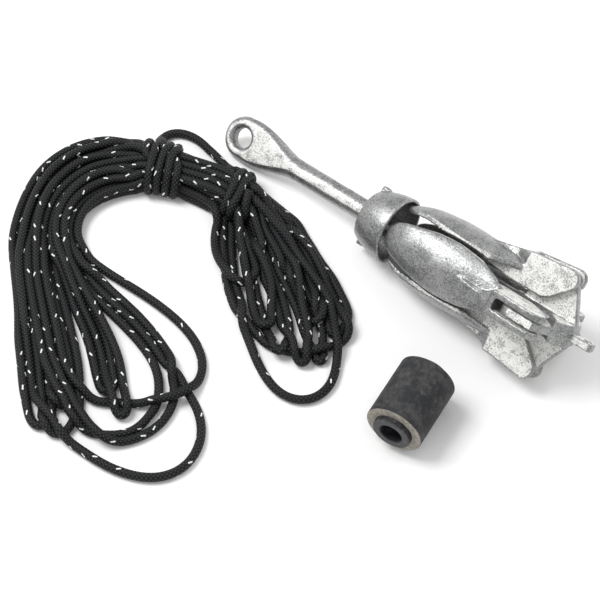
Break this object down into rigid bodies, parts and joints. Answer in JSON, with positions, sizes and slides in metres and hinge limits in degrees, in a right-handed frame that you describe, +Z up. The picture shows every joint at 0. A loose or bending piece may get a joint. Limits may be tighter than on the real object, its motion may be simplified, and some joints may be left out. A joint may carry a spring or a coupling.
{
  "type": "grapnel anchor",
  "caption": "Folding grapnel anchor with hinged flukes and a sliding collar, with its braided line in a tied hank and a cylindrical float.",
  "frame": {"origin": "middle of the anchor's bounding box on the floor it rests on, without the line and float", "axes": "+X along the anchor from its eye to its crown, level; +Z up; the anchor's own axis rises towards the crown"},
  "size_m": [0.377, 0.3018, 0.0705],
  "materials": {
    "galvanised_iron": "satin",
    "pin_steel": "satin",
    "line_braid": "matte",
    "float_rubber": "matte"
  },
  "bodies": {
    "root": {"shank": "galvanised_iron", "crown": "galvanised_iron", "line_left_leg": "line_braid", "line_left_tie": "line_braid", "line_bridge": "line_braid", "line_right_tie": "line_braid", "line_right_leg": "line_braid", "float_sleeve": "float_rubber", "float_core": "float_rubber"},
    "collar": {"collar": "galvanised_iron"},
    "fluke_1": {"fluke_1": "galvanised_iron", "fluke_pin_1": "pin_steel"},
    "fluke_2": {"fluke_2": "galvanised_iron", "fluke_pin_2": "pin_steel"},
    "fluke_3": {"fluke_3": "galvanised_iron", "fluke_pin_3": "pin_steel"},
    "fluke_4": {"fluke_4": "galvanised_iron", "fluke_pin_4": "pin_steel"}
  },
  "joints": [
    {"name": "collar_slide", "type": "slide", "parent": "root", "child": "collar", "axis": [-0.9957, 0, -0.0929], "range_m": [0, 0.042]},
    {"name": "fluke_1_hinge", "type": "hinge", "parent": "root", "child": "fluke_1", "pos_m": [0.1111, -0.01909, 0.05506], "axis": [-0.0657, 0.7071, 0.704], "range_deg": [0, 90]},
    {"name": "fluke_2_hinge", "type": "hinge", "parent": "root", "child": "fluke_2", "pos_m": [0.11465, -0.01909, 0.01704], "axis": [-0.0657, -0.7071, 0.704], "range_deg": [0, 90]},
    {"name": "fluke_3_hinge", "type": "hinge", "parent": "root", "child": "fluke_3", "pos_m": [0.11465, 0.01909, 0.01704], "axis": [0.0657, -0.7071, -0.704], "range_deg": [0, 90]},
    {"name": "fluke_4_hinge", "type": "hinge", "parent": "root", "child": "fluke_4", "pos_m": [0.1111, 0.01909, 0.05506], "axis": [0.0657, 0.7071, -0.704], "range_deg": [0, 90]}
  ]
}
